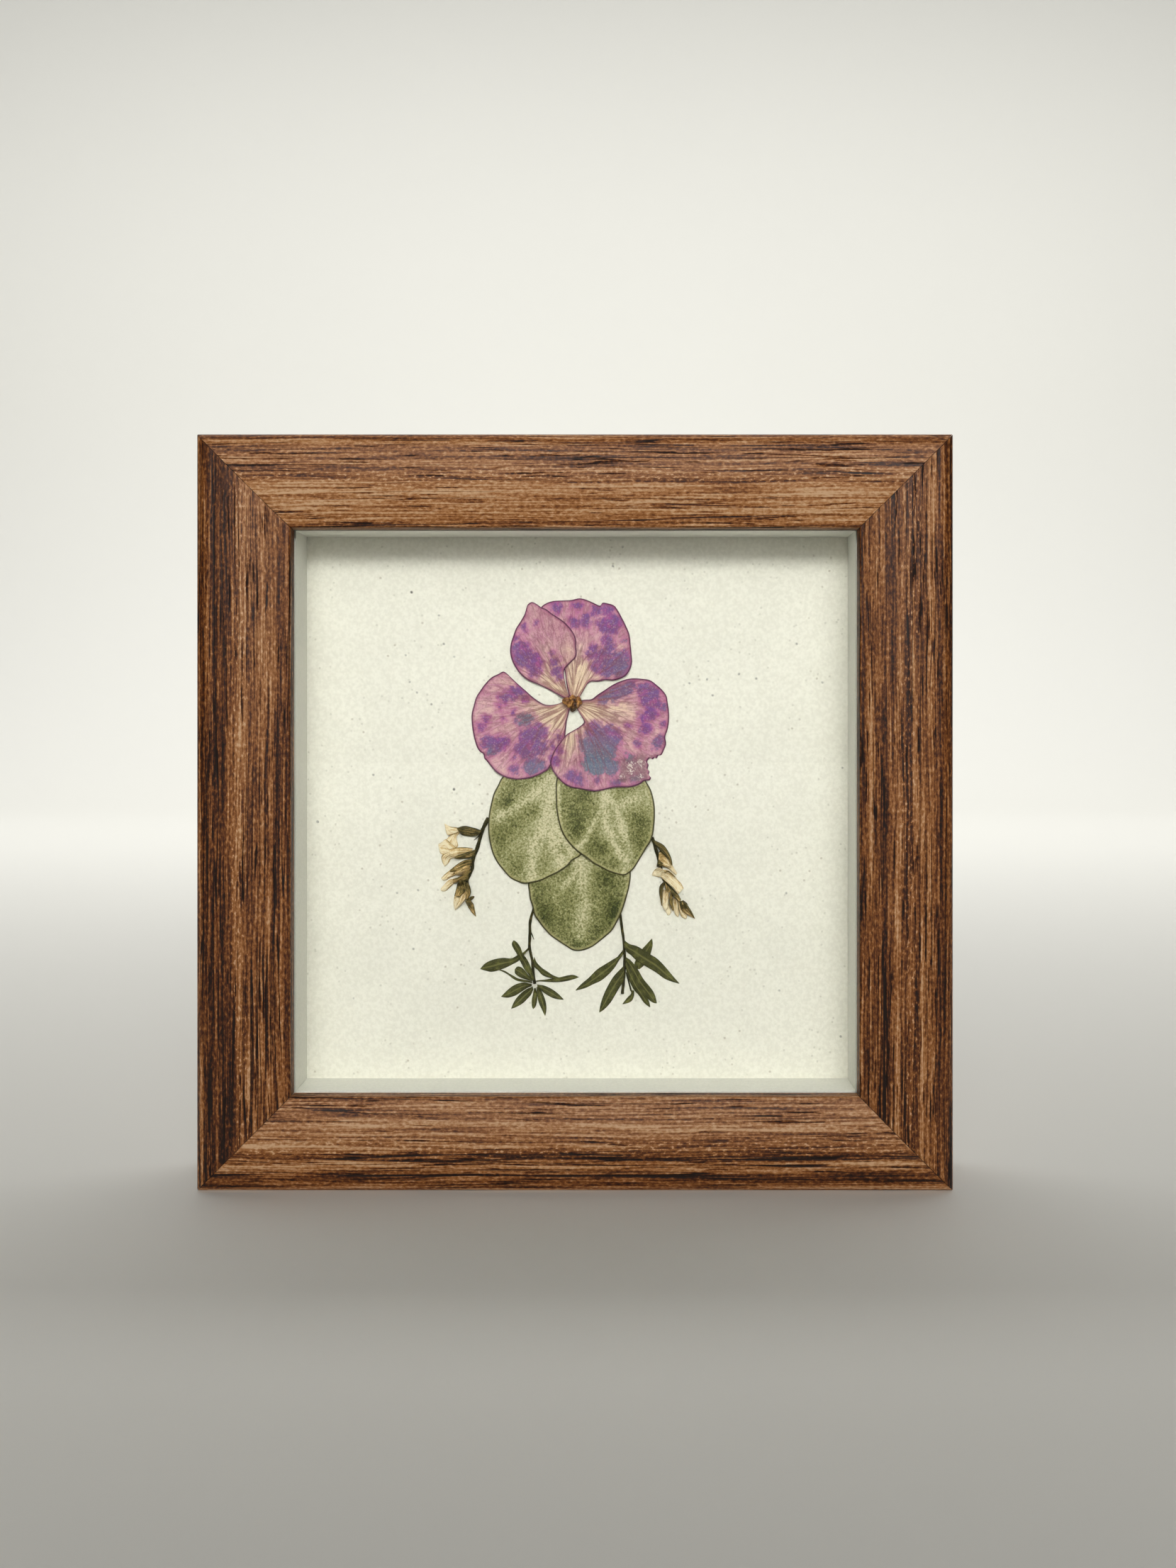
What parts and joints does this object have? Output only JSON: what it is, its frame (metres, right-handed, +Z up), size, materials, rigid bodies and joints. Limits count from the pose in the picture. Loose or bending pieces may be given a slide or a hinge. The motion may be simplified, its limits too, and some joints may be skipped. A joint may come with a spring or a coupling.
{
  "type": "pressed flower frame",
  "caption": "Small square box frame with a wood-look moulding and a pressed flower arrangement mounted on card behind its glass.",
  "frame": {"origin": "under the middle of the frame, on the surface that its bottom rail stands on", "axes": "+Z up, -Y the way the glass faces, +X to the right seen from the front"},
  "size_m": [0.15, 0.0244, 0.15],
  "materials": {
    "wood": "wood-look film, brown with fine dark grain, satin",
    "glass": "clear, polished",
    "liner": "white paper, matt",
    "card": "warm white handmade paper with small specks",
    "back_panel": "bare hardboard, matt brown",
    "button_steel": "zinc plated sheet",
    "screw_steel": "zinc plated",
    "hanger_steel": "brass plated sheet",
    "petal": "dried petal, mauve and cream with violet blotches, matt",
    "flower_heart": "dried heart of the flower, dark brown",
    "leaf_left": "dried leaf, mottled grey green with pale veins",
    "leaf_right": "dried leaf, olive with pale veins",
    "leaf_lower": "dried leaf, dark olive with a pale rib",
    "leaflet": "dried leaflet, dark olive",
    "floret": "dried floret, cream to brown",
    "stalk": "dried stalk, dark brown green"
  },
  "bodies": {
    "frame": {"arm_left_bud": "floret", "arm_left_floret_1": "floret", "arm_left_floret_2": "floret", "arm_left_floret_3": "floret", "arm_left_floret_4": "floret", "arm_left_floret_5": "floret", "arm_left_stalk": "stalk", "arm_right_bud": "floret", "arm_right_floret_1": "floret", "arm_right_floret_2": "floret", "arm_right_floret_3": "floret", "arm_right_floret_4": "floret", "arm_right_stalk": "stalk", "back_panel": "back_panel", "button_screw_lower_left": "screw_steel", "button_screw_lower_right": "screw_steel", "button_screw_upper_left": "screw_steel", "button_screw_upper_right": "screw_steel", "card": "card", "flower_heart": "flower_heart", "foot_left_leaf_1": "leaflet", "foot_left_leaf_10": "leaflet", "foot_left_leaf_2": "leaflet", "foot_left_leaf_3": "leaflet", "foot_left_leaf_4": "leaflet", "foot_left_leaf_5": "leaflet", "foot_left_leaf_6": "leaflet", "foot_left_leaf_7": "leaflet", "foot_left_leaf_8": "leaflet", "foot_left_leaf_9": "leaflet", "foot_left_stalk": "stalk", "foot_right_leaf_1": "leaflet", "foot_right_leaf_2": "leaflet", "foot_right_leaf_3": "leaflet", "foot_right_leaf_4": "leaflet", "foot_right_leaf_5": "leaflet", "foot_right_leaf_6": "leaflet", "foot_right_leaf_7": "leaflet", "foot_right_stalk": "stalk", "glass": "glass", "leaf_left": "leaf_left", "leaf_lower": "leaf_lower", "leaf_right": "leaf_right", "liner_bottom": "liner", "liner_left": "liner", "liner_right": "liner", "liner_top": "liner", "petal_left": "petal", "petal_right": "petal", "petal_top_left": "petal", "petal_top_right": "petal", "rail_bottom": "wood", "rail_left": "wood", "rail_right": "wood", "rail_top": "wood", "sawtooth_hanger": "hanger_steel"},
    "button_lower_left": {"turn_button_lower_left": "button_steel"},
    "button_lower_right": {"turn_button_lower_right": "button_steel"},
    "button_upper_left": {"turn_button_upper_left": "button_steel"},
    "button_upper_right": {"turn_button_upper_right": "button_steel"}
  },
  "joints": [
    {"name": "button_turn_lower_left", "type": "hinge", "parent": "frame", "child": "button_lower_left", "pos_m": [-0.0662, 0.0107, 0.043], "axis": [0, 1, 0], "continuous": true},
    {"name": "button_turn_lower_right", "type": "hinge", "parent": "frame", "child": "button_lower_right", "pos_m": [0.0662, 0.0107, 0.043], "axis": [0, 1, 0], "continuous": true},
    {"name": "button_turn_upper_left", "type": "hinge", "parent": "frame", "child": "button_upper_left", "pos_m": [-0.0662, 0.0107, 0.107], "axis": [0, 1, 0], "continuous": true},
    {"name": "button_turn_upper_right", "type": "hinge", "parent": "frame", "child": "button_upper_right", "pos_m": [0.0662, 0.0107, 0.107], "axis": [0, 1, 0], "continuous": true}
  ]
}
